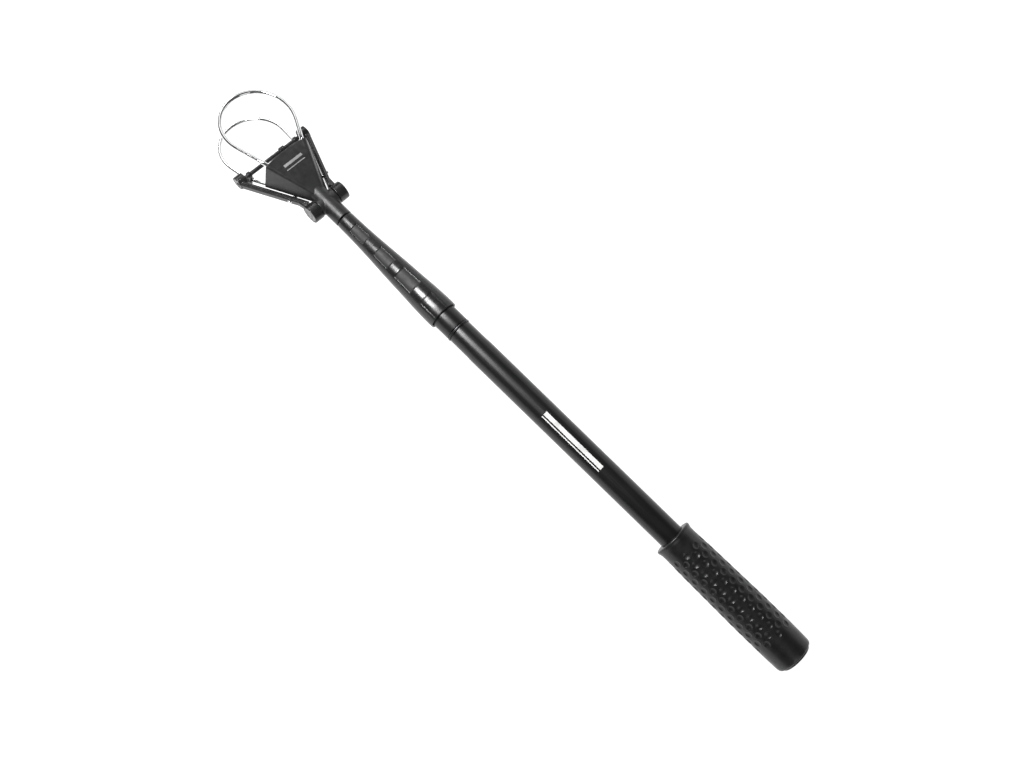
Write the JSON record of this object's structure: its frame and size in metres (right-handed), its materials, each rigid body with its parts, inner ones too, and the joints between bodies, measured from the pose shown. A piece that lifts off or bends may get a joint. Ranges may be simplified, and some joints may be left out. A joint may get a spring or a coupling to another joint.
{
  "type": "golf ball retriever",
  "caption": "Pocket telescoping pole with a rubber grip and a spring-closed jaw of two wire loops at its end, for lifting a golf ball out of water or rough.",
  "frame": {"origin": "centre of the flat butt face at the grip's end", "axes": "+X along the pole from the butt to the head, +Z out of the front of the spade, +Y to the left of the head"},
  "size_m": [0.4698, 0.0542, 0.0394],
  "materials": {
    "grip_rubber": "matte, moulded dimples",
    "tube_paint": "satin black",
    "black_plastic": "moulded, half gloss",
    "grey_plastic": "satin",
    "nylon": "satin",
    "satin_steel": "drawn",
    "chrome_wire": "polished",
    "black_steel": "blackened"
  },
  "bodies": {
    "handle": {"rubber_grip": "grip_rubber", "butt_plug": "black_plastic", "outer_tube": "tube_paint", "crimp_ring": "black_steel", "mouth_ferrule": "black_plastic"},
    "section_1": {"section_1_tube": "satin_steel", "section_1_bush": "nylon"},
    "section_2": {"section_2_tube": "satin_steel", "section_2_bush": "nylon"},
    "section_3": {"section_3_tube": "satin_steel", "section_3_bush": "nylon"},
    "section_4": {"section_4_tube": "satin_steel", "section_4_bush": "nylon"},
    "section_5": {"section_5_tube": "satin_steel", "section_5_bush": "nylon"},
    "head": {"section_6_tube": "satin_steel", "section_6_bush": "nylon", "socket_sleeve": "black_plastic", "socket_pin": "satin_steel", "spade_yoke": "black_plastic", "front_loop": "chrome_wire", "pivot_pin": "satin_steel", "left_torsion_spring": "satin_steel", "right_torsion_spring": "satin_steel"},
    "rear_jaw": {"left_lever": "black_plastic", "right_lever": "black_plastic", "left_spring_cover": "grey_plastic", "right_spring_cover": "grey_plastic", "cross_rod": "black_steel", "rod_collar": "black_plastic", "left_rod_plug": "grey_plastic", "right_rod_plug": "grey_plastic", "left_wire_clip": "black_plastic", "right_wire_clip": "black_plastic", "rear_loop": "chrome_wire"}
  },
  "joints": [
    {"name": "section_1_slide", "type": "slide", "parent": "handle", "child": "section_1", "axis": [1, 0, 0], "range_m": [0, 0.212]},
    {"name": "section_2_slide", "type": "slide", "parent": "section_1", "child": "section_2", "axis": [1, 0, 0], "range_m": [0, 0.233]},
    {"name": "section_3_slide", "type": "slide", "parent": "section_2", "child": "section_3", "axis": [1, 0, 0], "range_m": [0, 0.233]},
    {"name": "section_4_slide", "type": "slide", "parent": "section_3", "child": "section_4", "axis": [1, 0, 0], "range_m": [0, 0.233]},
    {"name": "section_5_slide", "type": "slide", "parent": "section_4", "child": "section_5", "axis": [1, 0, 0], "range_m": [0, 0.233]},
    {"name": "section_6_slide", "type": "slide", "parent": "section_5", "child": "head", "axis": [1, 0, 0], "range_m": [0, 0.233]},
    {"name": "rear_jaw_hinge", "type": "hinge", "parent": "head", "child": "rear_jaw", "pos_m": [0.3851, 0, 0], "axis": [0, 1, 0], "range_deg": [0, 20], "stiffness_Nm_per_rad": 0.12, "springref_deg": -20.05}
  ]
}
